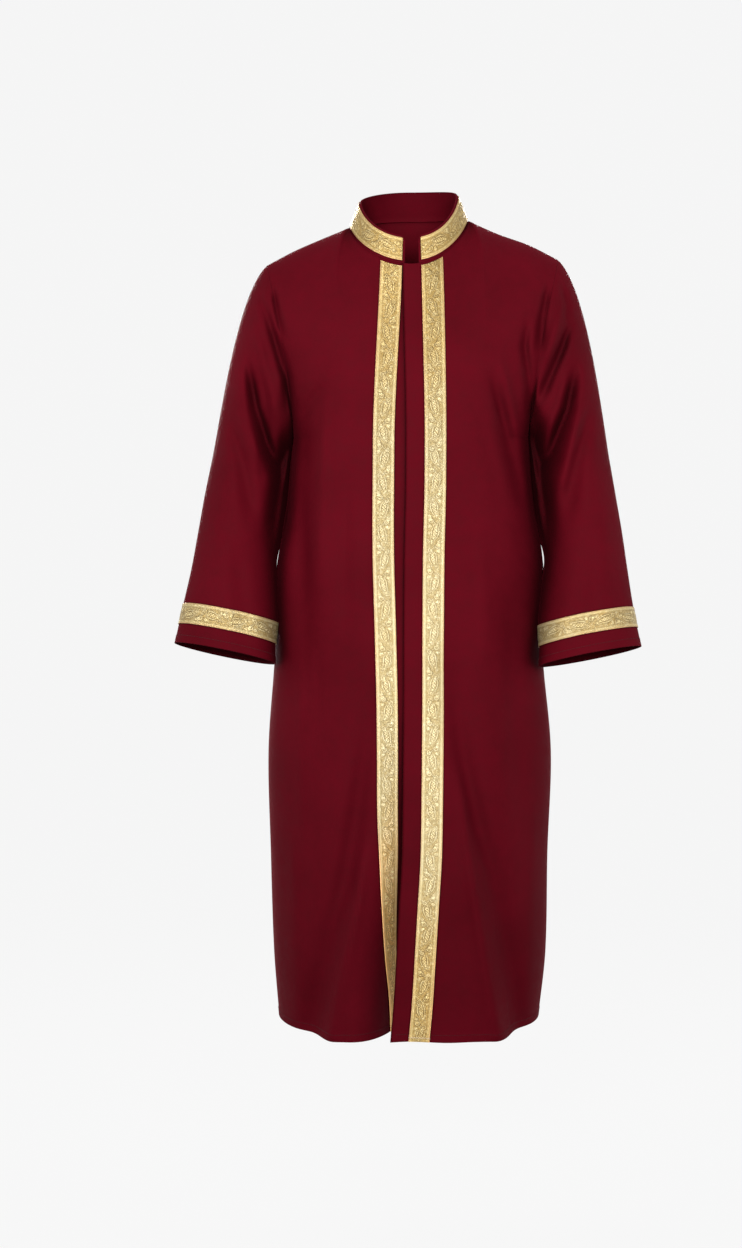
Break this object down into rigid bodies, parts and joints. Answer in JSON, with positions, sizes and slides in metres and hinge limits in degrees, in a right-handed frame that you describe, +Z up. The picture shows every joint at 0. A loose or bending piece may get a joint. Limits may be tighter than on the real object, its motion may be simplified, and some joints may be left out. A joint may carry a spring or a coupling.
{
  "type": "bisht cloak",
  "caption": "Open-front burgundy cloak with a stand collar and long flared sleeves, bordered in gold brocade at the collar, front edges and cuffs; it hangs hollow as worn.",
  "frame": {"origin": "middle of the neck opening, level with the neck points of the shoulder seams, where the wearer's shoulders carry the cloak", "axes": "+Z up, the front faces -Y, and the wearer's left is +X"},
  "size_m": [0.713, 0.3246, 1.2981],
  "materials": {
    "burgundy_cloth": "smooth woven cloth with a soft sheen",
    "gold_brocade": "raised metallic-thread brocade"
  },
  "bodies": {
    "root": {"back": "burgundy_cloth", "front_left": "burgundy_cloth", "front_right": "burgundy_cloth", "sleeve_left": "burgundy_cloth", "sleeve_right": "burgundy_cloth", "collar": "burgundy_cloth", "collar_trim": "gold_brocade", "front_trim_left": "gold_brocade", "front_trim_right": "gold_brocade", "cuff_trim_left": "gold_brocade", "cuff_trim_right": "gold_brocade"}
  },
  "joints": []
}
